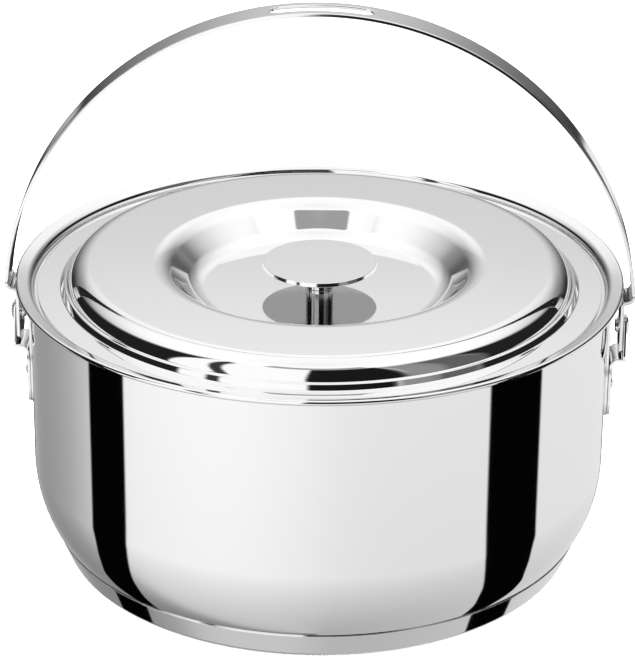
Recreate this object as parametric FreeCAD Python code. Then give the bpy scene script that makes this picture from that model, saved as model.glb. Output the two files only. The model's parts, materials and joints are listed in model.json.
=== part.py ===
import FreeCAD, Part
import math
import os

# A stainless kettle with a stepped rim ring, a drop-in lid and a swinging strap handle (the bail).
# Millimetres. The origin is the centre of the flat base, +Z is up, and the bail turns about X.

# ---- driving dimensions ----
RIM_R = 150.0            # outside of the rolled lip
RIM_H = 145.0            # top of the rolled lip above the table
WALL_R = 143.2           # outside of the wall
SHEET = 1.0              # stainless sheet of the pot and the lid
RING_T = 0.8             # thinner sheet of the rim ring
LIP_ROLL_R = 1.3         # rolled bead along the lip
LIP_BEND_R = 3.0         # bend from the ring's step out into the lip
LIP_DROP = 1.9           # the lip's inner edge is this much below its rolled edge
LEDGE_DROP = 6.25        # top of the ledge that carries the lid, below the rim
LEDGE_R = 136.6          # inner edge of that ledge
CORNER_START_H = 50.3    # the wall starts to curve in at this height
CORNER_R = 68.4          # radius of the wall's lower curve
WALL_TOP_H = RIM_H - 4.4  # the wall ends under the lip
SEAM_R = 133.2           # upper edge of the base cap
SEAM_H = 13.4
BASE_R = 127.4           # foot of the base cap
BASE_CAP_T = 0.6
POT_SEAM_R = SEAM_R - 0.8   # the wall there, just inside the cap
POT_FLOOR_H = 7.0        # underside of the pot's floor, over the heat core
FLOOR_CORNER_R = 12.0

LID_R = 139.4            # edge of the lid's flange
FLANGE_TOP = -5.2        # heights of the lid are given from the rim
CROWN_TOP = 6.2
SHOULDER_R = 121.9       # the crown turns down into the lid's side here
WELL_FLOOR = -8.3
WELL_FLOOR_R = 62.0
WELL_TOP_R = 77.0
KNOB_R = 28.5
KNOB_T = 2.0
KNOB_TOP = 4.9
POST_R = 6.8
SPIGOT_R = 3.0
SPIGOT_L = 1.2
LID_HOLE_R = 2.65
SCREW_R = 2.45
SCREW_BORE_R = 2.5
SCREW_L = 10.0
SCREW_HEAD_R = 4.6
SCREW_HEAD_L = 2.8
WASHER_R = 8.0
WASHER_T = 1.2
LOCK_WASHER_R = 4.5
LOCK_WASHER_T = 1.3

PIVOT_H = RIM_H - 25.5   # axis of the bail's two rivets
STRAP_W = 19.0
STRAP_T = 1.8
ARCH_R = 156.3           # outside of the bail's half circle
ARCH_TOP_H = 281.0
LEG_X = 149.7            # middle of the strap between the ears
JOG_OUT_H = RIM_H - 10.0 # the strap steps in towards the pot between these heights
JOG_IN_H = RIM_H - 11.6
JOG_R = 2.2
STRAP_END_R = 14.0       # rounded end of the strap, about the pivot
SLOT_L = 50.0
SLOT_W = 8.4

PLATE_T = 1.4            # backing plate welded to the wall
PLATE_TOP_H = RIM_H - 14.0
TONGUE_END_H = RIM_H - 75.0
TONGUE_W = 16.0
HEAD_W = 21.0            # width of the plate's head and of the hook's channel
SHOULDER_H = RIM_H - 47.0
HOOK_T = 1.5
HOOK_WEB_H = PIVOT_H - 15.15
HOOK_CHEEK_X = 151.65
HOOK_EYE_R = 5.6
HOOK_NARROW = 0.5        # the hook's tongue is this much narrower than the plate on each side

RIVET_R = 2.5            # shank of the pivot rivet
RIVET_FIT = 0.06         # radial running clearance in the strap
DOME_R = 5.2
DOME_H = 1.8
TAIL_R = 3.4
TAIL_T = 0.8
BUSH_WASHER_R = 4.2
BUSH_WASHER_T = 0.8
SIDE_PLAY = 0.3          # gap each side of the strap
FIX_RIVET_R = 1.6        # two small rivets hold hook and plate to the wall
FIX_DOME_R = 2.9
FIX_DOME_H = 1.2
FIX_RIVET_Y = 4.2
FIX_RIVET_H = RIM_H - 55.5
FIX_TAIL_R = 2.8
FIX_TAIL_T = 0.8

AXIS = FreeCAD.Vector(0, 0, 1)
ORIGIN = FreeCAD.Vector(0, 0, 0)


# ---- outlines in the X-Z plane ----
def at(x, z):
    return FreeCAD.Vector(x, 0, z)


def turn(before, corner, after):
    """Unit vectors in and out of a corner, and the signed turn between them (left is positive)."""
    ax, az = corner[0] - before[0], corner[1] - before[1]
    bx, bz = after[0] - corner[0], after[1] - corner[1]
    la, lb = math.hypot(ax, az), math.hypot(bx, bz)
    ax, az, bx, bz = ax / la, az / la, bx / lb, bz / lb
    return (ax, az), (bx, bz), math.atan2(ax * bz - az * bx, ax * bx + az * bz)


def rounded(corners):
    """Edges along a list of (x, z, radius) corners, with a tangent arc at each inner corner."""
    edges = []
    start = at(*corners[0][:2])
    for before, corner, after in zip(corners, corners[1:], corners[2:]):
        (ax, az), (bx, bz), angle = turn(before, corner, after)
        radius = corner[2]
        if radius < 0.01:
            edges.append(Part.LineSegment(start, at(*corner[:2])).toShape())
            start = at(*corner[:2])
            continue
        reach = radius * math.tan(abs(angle) / 2)
        first = at(corner[0] - ax * reach, corner[1] - az * reach)
        last = at(corner[0] + bx * reach, corner[1] + bz * reach)
        bulge = radius / math.cos(angle / 2) - radius
        mx, mz = bx - ax, bz - az
        size = math.hypot(mx, mz)
        middle = at(corner[0] + mx / size * bulge, corner[1] + mz / size * bulge)
        if (first - start).Length > 1e-4:
            edges.append(Part.LineSegment(start, first).toShape())
        edges.append(Part.Arc(first, middle, last).toShape())
        start = last
    edges.append(Part.LineSegment(start, at(*corners[-1][:2])).toShape())
    return edges


def beside(corners, gap):
    """The same corners moved by gap to the left of the path, so that sheet keeps its thickness."""
    moved = []
    for i, corner in enumerate(corners):
        before = corners[max(i - 1, 0)]
        after = corners[min(i + 1, len(corners) - 1)]
        if i == 0:
            before = (2 * corner[0] - after[0], 2 * corner[1] - after[1])
        if i == len(corners) - 1:
            after = (2 * corner[0] - before[0], 2 * corner[1] - before[1])
        (ax, az), (bx, bz), angle = turn(before, corner, after)
        nx, nz = -(az + bz), ax + bx
        size = math.hypot(nx, nz)
        reach = gap / math.cos(angle / 2)
        radius = corner[2] - gap * (1 if angle > 0 else -1) if corner[2] > 0 else 0.0
        moved.append((corner[0] + nx / size * reach, corner[1] + nz / size * reach, max(radius, 0.0)))
    return moved


def strip(path, other):
    """Face between two paths that run the same way."""
    edges = rounded(path) + rounded(other)
    edges.append(Part.LineSegment(at(*path[0][:2]), at(*other[0][:2])).toShape())
    edges.append(Part.LineSegment(at(*path[-1][:2]), at(*other[-1][:2])).toShape())
    return Part.Face(Part.Wire(Part.__sortEdges__(edges)))


def lathe(face):
    return face.revolve(ORIGIN, AXIS, 360)


def disc(radius, low, high, centre=(0, 0)):
    return Part.makeCylinder(radius, high - low, FreeCAD.Vector(centre[0], centre[1], low))


def washer(outer, hole, low, high):
    return disc(outer, low, high).cut(disc(hole, low - 1, high + 1))


def rod_x(radius, x0, x1, y, z):
    """A round bar along X between two places."""
    low, high = min(x0, x1), max(x0, x1)
    return Part.makeCylinder(radius, high - low, FreeCAD.Vector(low, y, z), FreeCAD.Vector(1, 0, 0))


def save(shape, node):
    shape.exportStep("parts/%s.step" % node)
    print("%-22s volume %10.1f  valid %s  solids %d" % (node, shape.Volume, shape.isValid(), len(shape.Solids)))


# ---- pot ----
def wall_angle():
    """Angle of the wall's lower curve where it runs into the base cap."""
    return math.acos(1 - (WALL_R - POT_SEAM_R) / CORNER_R)


def pot_outside():
    """Corners of the pot's outer surface, from the middle of its floor up to the rim ring."""
    slope = wall_angle()
    seam_h = CORNER_START_H - CORNER_R * math.sin(slope)
    run = (seam_h - POT_FLOOR_H) / math.tan(math.pi / 2 - slope)
    curve_h = CORNER_START_H - CORNER_R * math.tan(slope / 2)
    return [
        (0, POT_FLOOR_H, 0),
        (POT_SEAM_R - run, POT_FLOOR_H, FLOOR_CORNER_R),
        (WALL_R, curve_h, CORNER_R),
        (WALL_R, WALL_TOP_H, 0),
    ]


def make_shell():
    outside = pot_outside()
    shell = lathe(strip(outside, beside(outside, SHEET)))
    for side in (-1, 1):
        for y in (-FIX_RIVET_Y, FIX_RIVET_Y):
            shell = shell.cut(rod_x(FIX_RIVET_R, side * (WALL_R - 6), side * (WALL_R + 6), y, FIX_RIVET_H))
    return shell


def make_rim_ring():
    """Ring pressed into the pot's mouth: a ledge for the lid, a short step, and the rolled lip."""
    step_r = WALL_R - SHEET - RING_T
    bead_r, bead_h = RIM_R - LIP_ROLL_R, RIM_H - LIP_ROLL_R
    lip_r, lip_h = bead_r - step_r, bead_h - (RIM_H - LIP_DROP)
    slope = math.atan2(lip_h, lip_r) + math.asin(LIP_ROLL_R / math.hypot(lip_r, lip_h))
    touch = (bead_r - LIP_ROLL_R * math.sin(slope), bead_h + LIP_ROLL_R * math.cos(slope))
    top = [(LEDGE_R, RIM_H - LEDGE_DROP, 0), (step_r, RIM_H - LEDGE_DROP, 1.0),
           (step_r, RIM_H - LIP_DROP, LIP_BEND_R), touch + (0,)]
    under = beside(top, -RING_T)
    back = math.sqrt(LIP_ROLL_R ** 2 - (LIP_ROLL_R - RING_T) ** 2)
    under[-1] = (under[-1][0] - back * math.cos(slope), under[-1][1] - back * math.sin(slope), 0)
    middle = slope - math.pi / 4
    outermost = at(bead_r + LIP_ROLL_R * math.cos(middle), bead_h + LIP_ROLL_R * math.sin(middle))
    edges = rounded(top) + rounded(under)
    edges.append(Part.Arc(at(*touch), outermost, at(*under[-1][:2])).toShape())
    edges.append(Part.LineSegment(at(*top[0][:2]), at(*under[0][:2])).toShape())
    return lathe(Part.Face(Part.Wire(Part.__sortEdges__(edges))))


def cap_outside():
    return [(0, 0, 0), (BASE_R, 0, 3.0), (SEAM_R, SEAM_H, 0)]


def make_base_cap():
    outside = cap_outside()
    return lathe(strip(outside, beside(outside, BASE_CAP_T)))


def make_base_core():
    """Aluminium filling between the cap and the pot: the cap's inside less the pot's outside."""
    inner = beside(cap_outside(), BASE_CAP_T)
    inside = Part.Face(Part.Wire(Part.__sortEdges__(rounded(inner) + [
        Part.LineSegment(at(*inner[-1][:2]), at(0, inner[-1][1])).toShape(),
        Part.LineSegment(at(0, inner[-1][1]), at(*inner[0][:2])).toShape()])))
    outside = pot_outside()
    top = outside[-1][1]
    body = Part.Face(Part.Wire(Part.__sortEdges__(rounded(outside) + [
        Part.LineSegment(at(*outside[-1][:2]), at(0, top)).toShape(),
        Part.LineSegment(at(0, top), at(0, POT_FLOOR_H)).toShape()])))
    return lathe(inside.cut(body).Faces[0])


# ---- lid and knob ----
def lid_top():
    """Corners of the lid's upper surface, from its middle out to the flange's edge."""
    return [(r, RIM_H + z, radius) for r, z, radius in (
        (0, WELL_FLOOR, 0),
        (WELL_FLOOR_R, WELL_FLOOR, 9.5),
        (WELL_TOP_R, CROWN_TOP, 10.0),
        (SHOULDER_R, CROWN_TOP, 11.8),
        (124.7, -2.3, 0.6),
        (126.2, -2.6, 0.8),
        (128.0, FLANGE_TOP, 0.8),
        (LID_R, FLANGE_TOP, 0))]


def make_lid():
    top = lid_top()
    lid = lathe(strip(top, beside(top, -SHEET)))
    floor = RIM_H + WELL_FLOOR
    return lid.cut(disc(LID_HOLE_R, floor - 5, floor + 5))


def make_knob_disc():
    top = RIM_H + KNOB_TOP
    half = [(0, top - KNOB_T, 0), (KNOB_R, top - KNOB_T, 0.6), (KNOB_R, top, 0.6), (0, top, 0)]
    face = Part.Face(Part.Wire(Part.__sortEdges__(
        rounded(half) + [Part.LineSegment(at(0, top), at(0, top - KNOB_T)).toShape()])))
    return lathe(face).cut(disc(SPIGOT_R, top - KNOB_T - 1, top - KNOB_T + SPIGOT_L))


def make_knob_post():
    low, high = RIM_H + WELL_FLOOR, RIM_H + KNOB_TOP - KNOB_T
    post = disc(POST_R, low, high).fuse(disc(SPIGOT_R, high - 1, high + SPIGOT_L)).removeSplitter()
    return post.cut(disc(SCREW_BORE_R, low - 1, low + SCREW_L - 2.0))


def under_lid(gap):
    return RIM_H + WELL_FLOOR - SHEET - gap


def make_knob_screw():
    seat = under_lid(WASHER_T + LOCK_WASHER_T)
    shank = disc(SCREW_R, seat - 0.5, seat + SCREW_L)
    head = disc(SCREW_HEAD_R, seat - SCREW_HEAD_L, seat)
    head = head.makeFillet(1.1, [e for e in head.Edges if abs(e.CenterOfMass.z - seat + SCREW_HEAD_L) < 0.01
                                 and len(e.Vertexes) == 1])
    screw = shank.fuse(head)
    for angle in (0, 90):
        arm = Part.makeBox(4.6, 0.9, 1.5, FreeCAD.Vector(-2.3, -0.45, seat - SCREW_HEAD_L - 0.1))
        arm.rotate(ORIGIN, AXIS, angle)
        screw = screw.cut(arm)
    return screw


def make_lock_washer():
    low, high = under_lid(WASHER_T + LOCK_WASHER_T), under_lid(WASHER_T)
    split = Part.makeBox(6, 0.8, 4, FreeCAD.Vector(0, -0.4, low - 1))
    return washer(LOCK_WASHER_R, LID_HOLE_R, low, high).cut(split)


# ---- ears of the bail ----
def slab(points, x0, x1):
    """An outline of (y, z) points and arcs, given as edges, carried along X."""
    wire = Part.Wire(Part.__sortEdges__(points))
    wire.translate(FreeCAD.Vector(x0, 0, 0))
    return Part.Face(wire).extrude(FreeCAD.Vector(x1 - x0, 0, 0))


def line(y0, z0, y1, z1):
    return Part.LineSegment(FreeCAD.Vector(0, y0, z0), FreeCAD.Vector(0, y1, z1)).toShape()


def arc(centre, radius, start, middle, end):
    """Arc in the Y-Z plane through three angles in degrees, from +Y towards +Z."""
    pts = [FreeCAD.Vector(0, centre[0] + radius * math.cos(math.radians(a)),
                          centre[1] + radius * math.sin(math.radians(a))) for a in (start, middle, end)]
    return Part.Arc(*pts).toShape()


def tongue_edges(inset):
    """The lower, round-ended tongue and its two shoulders; it ends open at the shoulders."""
    half = TONGUE_W / 2 - inset
    round_h = TONGUE_END_H + inset + half
    head = HEAD_W / 2 - inset
    return [arc((0, round_h), half, 180, 270, 360),
            line(-half, round_h, -half, SHOULDER_H - 2), line(half, round_h, half, SHOULDER_H - 2),
            line(-half, SHOULDER_H - 2, -head, SHOULDER_H + 1), line(half, SHOULDER_H - 2, head, SHOULDER_H + 1)]


def make_plate():
    """Backing plate on the right-hand wall, curved to the wall."""
    head = HEAD_W / 2
    soft = 3.0
    edges = tongue_edges(0) + [
        line(-head, SHOULDER_H + 1, -head, PLATE_TOP_H - soft), line(head, SHOULDER_H + 1, head, PLATE_TOP_H - soft),
        arc((head - soft, PLATE_TOP_H - soft), soft, 0, 45, 90),
        arc((soft - head, PLATE_TOP_H - soft), soft, 90, 135, 180),
        line(soft - head, PLATE_TOP_H, head - soft, PLATE_TOP_H)]
    outline = slab(edges, WALL_R - 5, WALL_R + 5)
    ring = disc(WALL_R + PLATE_T, TONGUE_END_H - 5, PLATE_TOP_H + 5).cut(
        disc(WALL_R, TONGUE_END_H - 6, PLATE_TOP_H + 6))
    return fix_holes(ring.common(outline))


def fix_holes(shape):
    for y in (-FIX_RIVET_Y, FIX_RIVET_Y):
        shape = shape.cut(rod_x(FIX_RIVET_R, WALL_R - 10, WALL_R + 10, y, FIX_RIVET_H))
    return shape


def hook_path():
    inner = WALL_R + PLATE_T
    return [(inner, TONGUE_END_H, 0), (inner, HOOK_WEB_H - 2.6, 2.4), (inner + 3.0, HOOK_WEB_H + HOOK_T / 2, 2.4),
            (HOOK_CHEEK_X - HOOK_T / 2, HOOK_WEB_H + HOOK_T / 2, 1.0),
            (HOOK_CHEEK_X - HOOK_T / 2, PIVOT_H + HOOK_EYE_R + 1, 0)]


def eye_tangent(half, low):
    """Where a line up from the channel's side touches the round eye, in degrees."""
    dy, dz = half, low - PIVOT_H
    return math.degrees(math.atan2(dz, dy) + math.acos(HOOK_EYE_R / math.hypot(dy, dz)))


def make_hook():
    """Strip that rises from the wall's tongue, turns out under the strap and up outside it."""
    path = hook_path()
    band = strip(path, beside(path, -HOOK_T)).extrude(FreeCAD.Vector(0, HEAD_W, 0))
    band.translate(FreeCAD.Vector(0, -HEAD_W / 2, 0))
    half = HEAD_W / 2 - HOOK_NARROW
    low = HOOK_WEB_H + 2.0
    touch = eye_tangent(half, low)
    ty, tz = HOOK_EYE_R * math.cos(math.radians(touch)), PIVOT_H + HOOK_EYE_R * math.sin(math.radians(touch))
    edges = tongue_edges(HOOK_NARROW) + [
        line(-half, SHOULDER_H + 1, -half, low), line(half, SHOULDER_H + 1, half, low),
        line(half, low, ty, tz), line(-half, low, -ty, tz),
        arc((0, PIVOT_H), HOOK_EYE_R, touch, 90, 180 - touch)]
    hook = band.common(slab(edges, WALL_R - 5, WALL_R + 15))
    hook = hook.cut(rod_x(RIVET_R, WALL_R + 5, WALL_R + 15, 0, PIVOT_H))
    return fix_holes(hook)


def dome(base_x, radius, height, y, z):
    """A domed rivet head that stands on the plane x = base_x."""
    ball = (radius ** 2 + height ** 2) / (2 * height)
    centre = FreeCAD.Vector(base_x + height - ball, y, z)
    return Part.makeSphere(ball, centre).common(rod_x(radius + 1, base_x, base_x + height + 1, y, z))


def make_pivot_rivet():
    cheek = HOOK_CHEEK_X + HOOK_T / 2
    tail = LEG_X - STRAP_T / 2 - SIDE_PLAY - BUSH_WASHER_T
    shank = rod_x(RIVET_R, tail - TAIL_T / 2, cheek + 0.3, 0, PIVOT_H)
    return shank.fuse(dome(cheek, DOME_R, DOME_H, 0, PIVOT_H)).fuse(
        rod_x(TAIL_R, tail - TAIL_T, tail, 0, PIVOT_H)).removeSplitter()


def make_pivot_washer():
    outer = LEG_X - STRAP_T / 2 - SIDE_PLAY
    ring = rod_x(BUSH_WASHER_R, outer - BUSH_WASHER_T, outer, 0, PIVOT_H)
    return ring.cut(rod_x(RIVET_R, outer - 5, outer + 5, 0, PIVOT_H))


def make_fix_rivets():
    """Two small rivets through hook, plate and wall."""
    outer = WALL_R + PLATE_T + HOOK_T
    inner = WALL_R - SHEET
    solids = []
    for y in (-FIX_RIVET_Y, FIX_RIVET_Y):
        shank = rod_x(FIX_RIVET_R, inner - 0.4, outer + 0.3, y, FIX_RIVET_H)
        tail = rod_x(FIX_TAIL_R, inner - FIX_TAIL_T, inner - 0.18, y, FIX_RIVET_H)
        solids.append(shank.fuse(dome(outer, FIX_DOME_R, FIX_DOME_H, y, FIX_RIVET_H)).fuse(tail).removeSplitter())
    return Part.makeCompound(solids)


# ---- bail ----
def arch_start():
    """Angle above the arch's centre, in radians, at which the half circle gives way to the leg."""
    return math.asin((JOG_OUT_H + 3 - (ARCH_TOP_H - ARCH_R)) / ARCH_R)


def leg_path(side):
    """Outer side of one leg, from the arch down to the end, as rounded corners."""
    angle = arch_start()
    x_out = ARCH_R * math.cos(angle)
    outer_leg = LEG_X + STRAP_T / 2
    path = [(x_out, JOG_OUT_H + 3, 0), (x_out + 3 * math.tan(angle), JOG_OUT_H, JOG_R),
            (outer_leg, JOG_IN_H, JOG_R), (outer_leg, PIVOT_H - STRAP_END_R - 1, 0)]
    return [(side * x, z, radius) for x, z, radius in path]


def arch(radius):
    """Edge of the half circle at one radius, from leg to leg."""
    angle = arch_start()
    centre_h = ARCH_TOP_H - ARCH_R
    x, z = radius * math.cos(angle), centre_h + radius * math.sin(angle)
    return Part.Arc(at(x, z), at(0, centre_h + radius), at(-x, z)).toShape()


def make_bail():
    """One bent strap: half circle, a step in at each side, and two legs with round ends."""
    edges = [arch(ARCH_R), arch(ARCH_R - STRAP_T)]
    for side in (-1, 1):
        outer = leg_path(side)
        inner = beside(outer, -side * STRAP_T)
        edges += rounded(outer) + rounded(inner)
        edges.append(Part.LineSegment(at(*outer[-1][:2]), at(*inner[-1][:2])).toShape())
    face = Part.Face(Part.Wire(Part.__sortEdges__(edges)))
    strap = face.extrude(FreeCAD.Vector(0, STRAP_W, 0))
    strap.translate(FreeCAD.Vector(0, -STRAP_W / 2, 0))
    trim = Part.makeBox(400, 60, 40, FreeCAD.Vector(-200, -30, PIVOT_H - 40))
    strap = strap.cut(trim.cut(rod_x(STRAP_END_R, -210, 210, 0, PIVOT_H)))
    strap = strap.cut(rod_x(RIVET_R + RIVET_FIT, -210, 210, 0, PIVOT_H))
    flat = SLOT_L - SLOT_W
    slot = Part.makeBox(flat, SLOT_W, 20, FreeCAD.Vector(-flat / 2, -SLOT_W / 2, ARCH_TOP_H - 10))
    for side in (-1, 1):
        slot = slot.fuse(disc(SLOT_W / 2, ARCH_TOP_H - 10, ARCH_TOP_H + 10, (side * flat / 2, 0)))
    return strap.cut(slot)


def main():
    os.makedirs("parts", exist_ok=True)
    save(make_shell(), "kettle_shell")
    save(make_rim_ring(), "rim_ring")
    save(make_base_core(), "base_core")
    save(make_base_cap(), "base_cap")
    save(make_lid(), "lid_shell")
    save(make_knob_disc(), "knob_disc")
    save(make_knob_post(), "knob_post")
    save(make_knob_screw(), "knob_screw")
    save(washer(WASHER_R, LID_HOLE_R, under_lid(WASHER_T), under_lid(0)), "knob_washer")
    save(make_lock_washer(), "knob_lock_washer")
    save(make_bail(), "bail_strap")
    ear = {"backing_plate": make_plate(), "hook": make_hook(), "pivot_rivet": make_pivot_rivet(),
           "pivot_washer": make_pivot_washer(), "hook_rivets": make_fix_rivets()}
    for name, shape in ear.items():
        save(shape, "right_" + name)
        save(shape.mirror(ORIGIN, FreeCAD.Vector(1, 0, 0)), "left_" + name)


main()
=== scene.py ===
"""Stainless brew kettle: the finished looks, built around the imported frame.

Lengths in the classes are millimetres unless a name says otherwise; meshes are made in metres.
"""
import json
import logging
import math
from dataclasses import dataclass, field
from enum import Enum
from typing import Callable, Optional, Sequence

import bpy
from mathutils import Matrix, Vector


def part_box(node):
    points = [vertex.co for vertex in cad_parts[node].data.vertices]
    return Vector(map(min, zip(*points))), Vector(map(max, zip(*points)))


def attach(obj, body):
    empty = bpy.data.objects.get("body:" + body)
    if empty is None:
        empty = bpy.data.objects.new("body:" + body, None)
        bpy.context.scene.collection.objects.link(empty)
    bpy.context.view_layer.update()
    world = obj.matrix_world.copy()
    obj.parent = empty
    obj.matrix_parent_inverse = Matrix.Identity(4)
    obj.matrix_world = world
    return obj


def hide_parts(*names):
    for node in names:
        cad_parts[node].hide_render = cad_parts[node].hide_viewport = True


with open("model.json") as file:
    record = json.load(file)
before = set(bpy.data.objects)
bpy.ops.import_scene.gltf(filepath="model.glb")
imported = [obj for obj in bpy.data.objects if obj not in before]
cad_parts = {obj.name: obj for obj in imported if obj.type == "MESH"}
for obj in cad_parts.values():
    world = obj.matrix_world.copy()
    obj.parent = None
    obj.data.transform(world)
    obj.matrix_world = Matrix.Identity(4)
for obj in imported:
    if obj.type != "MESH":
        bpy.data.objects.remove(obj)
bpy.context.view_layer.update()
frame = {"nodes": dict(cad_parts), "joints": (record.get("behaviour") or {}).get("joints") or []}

log = logging.getLogger("kettle")
MM = 0.001
Point = tuple[float, float]


# ---------------------------------------------------------------- outlines
@dataclass(frozen=True)
class Corner:
    """A corner of an outline, with the radius that rounds it."""

    x: float
    z: float
    radius: float = 0.0


def heading(a: Corner, b: Corner) -> Vector:
    """Unit vector from one corner to the next."""
    return Vector((b.x - a.x, b.z - a.z)).normalized()


def signed_turn(before: Vector, after: Vector) -> float:
    """Turn from one heading to the next in radians, positive to the left."""
    return math.atan2(before.x * after.y - before.y * after.x, before.dot(after))


@dataclass
class Outline:
    """An open outline of straight runs joined by tangent arcs."""

    corners: list[Corner]
    arc_step: float = 3.0
    support: float = 0.3

    def beside(self, gap: float) -> "Outline":
        """The same outline moved to its left, so that sheet keeps its thickness.

        Args:
            gap: How far to move, in millimetres; negative moves to the right.

        Returns:
            The moved outline.
        """
        moved = []
        last = len(self.corners) - 1
        for i, corner in enumerate(self.corners):
            into = heading(self.corners[max(i - 1, 0)], self.corners[max(i, 1)])
            out = heading(self.corners[min(i, last - 1)], self.corners[min(i + 1, last)])
            angle = signed_turn(into, out)
            normal = Vector((-(into.y + out.y), into.x + out.x)).normalized()
            reach = gap / math.cos(angle / 2)
            radius = corner.radius - math.copysign(gap, angle) if corner.radius else 0.0
            moved.append(Corner(corner.x + normal.x * reach, corner.z + normal.y * reach, max(radius, 0.0)))
        return Outline(moved, self.arc_step, self.support)

    def points(self) -> list[Point]:
        """Points along the outline, close together on the arcs.

        Returns:
            The points, in millimetres, with a supporting point just outside each arc's ends.
        """
        bends: list[list[Vector]] = []
        for before, corner, after in zip(self.corners, self.corners[1:], self.corners[2:]):
            into, out = heading(before, corner), heading(corner, after)
            angle = signed_turn(into, out)
            here = Vector((corner.x, corner.z))
            if corner.radius < 0.01:
                bends.append([here])
                continue
            reach = corner.radius * math.tan(abs(angle) / 2)
            start = here - into * reach
            centre = start + Vector((-into.y, into.x)) * math.copysign(corner.radius, angle)
            steps = max(3, math.ceil(math.degrees(abs(angle)) / self.arc_step))
            bend = []
            for k in range(steps + 1):
                spoke = start - centre
                spoke.rotate(Matrix.Rotation(angle * k / steps, 2))
                bend.append(centre + spoke)
            bends.append(bend)
        first, last = (Vector((c.x, c.z)) for c in (self.corners[0], self.corners[-1]))
        points = [first]
        for bend in bends:
            self.join(points, bend[0])
            points += bend[1:]
        self.join(points, last)
        return [tuple(p) for p in points]

    def join(self, points: list[Vector], target: Vector) -> None:
        """Adds a straight run, held flat by a supporting point near each of its ends.

        Args:
            points: The points so far, which get the run.
            target: Where the run ends.
        """
        start = points[-1]
        span = target - start
        if span.length > 3 * self.support:
            along = span.normalized() * self.support
            points += [start + along, target - along]
        points.append(target)


def sheet_section(outside: Outline, thickness: float, edge_round: float = 0.0) -> list[Point]:
    """Closed section of a sheet: out along one face, round its end and back along the other.

    Args:
        outside: The face that the sheet's outer side follows.
        thickness: Sheet thickness, measured to the left of the outline.
        edge_round: How far the corners at the sheet's free end are softened.

    Returns:
        The section's points, from its first end round to the same end.
    """
    outer, inner = outside.points(), outside.beside(thickness).points()
    if edge_round:
        a, b = Vector(outer[-1]), Vector(inner[-1])
        back = (Vector(outer[-2]) - a).normalized() * edge_round
        across = (b - a).normalized() * edge_round
        soft = [a + back, a + back * 0.3 + across * 0.3, a + across,
                b - across, b + back * 0.3 - across * 0.3, b + back]
        outer = outer[:-1] + [tuple(p) for p in soft[:3]]
        inner = inner[:-1] + [tuple(p) for p in reversed(soft[3:])]
    return outer + inner[::-1]


# ---------------------------------------------------------------- finishes
class Grain(Enum):
    """Which way a polished surface was worked."""

    TURNED = "turned about the kettle's axis"
    DRAWN = "drawn along a strip"
    PLAIN = "polished without direction"


def socket(group: bpy.types.NodeTree, name: str, kind: str, way: str = "INPUT",
           value: Optional[float] = None) -> None:
    """Adds a named socket to a node group.

    Args:
        group: The group.
        name: The socket's name.
        kind: Its type, such as NodeSocketFloat.
        way: INPUT or OUTPUT.
        value: Default value for a number.
    """
    made = group.interface.new_socket(name, in_out=way, socket_type=kind)
    if value is not None:
        made.default_value = value


def math_node(tree: bpy.types.NodeTree, operation: str, a: object,
              b: object = None) -> bpy.types.NodeSocket:
    """A Math node with each input linked or set.

    Args:
        tree: The tree that gets the node.
        operation: The node's operation.
        a: First input, a socket or a number.
        b: Second input, if the operation has one.

    Returns:
        The node's result.
    """
    node = tree.nodes.new("ShaderNodeMath")
    node.operation = operation
    for slot, given in zip(node.inputs, (a, b)):
        if isinstance(given, bpy.types.NodeSocket):
            tree.links.new(given, slot)
        elif given is not None:
            slot.default_value = given
    return node.outputs[0]


def noise_node(tree: bpy.types.NodeTree, vector: bpy.types.NodeSocket, scale: object,
               detail: float) -> bpy.types.NodeSocket:
    """A Noise Texture's value.

    Args:
        tree: The tree that gets the node.
        vector: Where the texture is read.
        scale: A number or a socket.
        detail: Octaves of finer noise.

    Returns:
        The Fac output.
    """
    node = tree.nodes.new("ShaderNodeTexNoise")
    node.inputs["Detail"].default_value = detail
    tree.links.new(vector, node.inputs["Vector"])
    if isinstance(scale, bpy.types.NodeSocket):
        tree.links.new(scale, node.inputs["Scale"])
    else:
        node.inputs["Scale"].default_value = scale
    return node.outputs[0]


def turned_coordinates() -> bpy.types.NodeTree:
    """Node group that stretches a pattern round the Z axis, as turning and spinning leave it.

    Returns:
        The node group, made once.
    """
    found = bpy.data.node_groups.get("turned_coordinates")
    if found:
        return found
    tree = bpy.data.node_groups.new("turned_coordinates", "ShaderNodeTree")
    socket(tree, "Vector", "NodeSocketVector")
    socket(tree, "Stretch", "NodeSocketFloat", value=60.0)
    socket(tree, "Vector", "NodeSocketVector", "OUTPUT")
    ends = tree.nodes.new("NodeGroupInput"), tree.nodes.new("NodeGroupOutput")
    split = tree.nodes.new("ShaderNodeSeparateXYZ")
    tree.links.new(ends[0].outputs["Vector"], split.inputs[0])
    x, y, z = split.outputs
    radius = math_node(tree, "SQRT", math_node(tree, "ADD", math_node(tree, "MULTIPLY", x, x),
                                               math_node(tree, "MULTIPLY", y, y)))
    safe = math_node(tree, "MAXIMUM", radius, 0.001)
    join = tree.nodes.new("ShaderNodeCombineXYZ")
    shrink = math_node(tree, "DIVIDE", 1.0, ends[0].outputs["Stretch"])
    for way, slot in ((x, 0), (y, 1)):
        unit = math_node(tree, "DIVIDE", way, safe)
        tree.links.new(math_node(tree, "MULTIPLY", unit, shrink), join.inputs[slot])
    tree.links.new(math_node(tree, "ADD", radius, z), join.inputs[2])
    tree.links.new(join.outputs[0], ends[1].inputs[0])
    return tree


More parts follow.
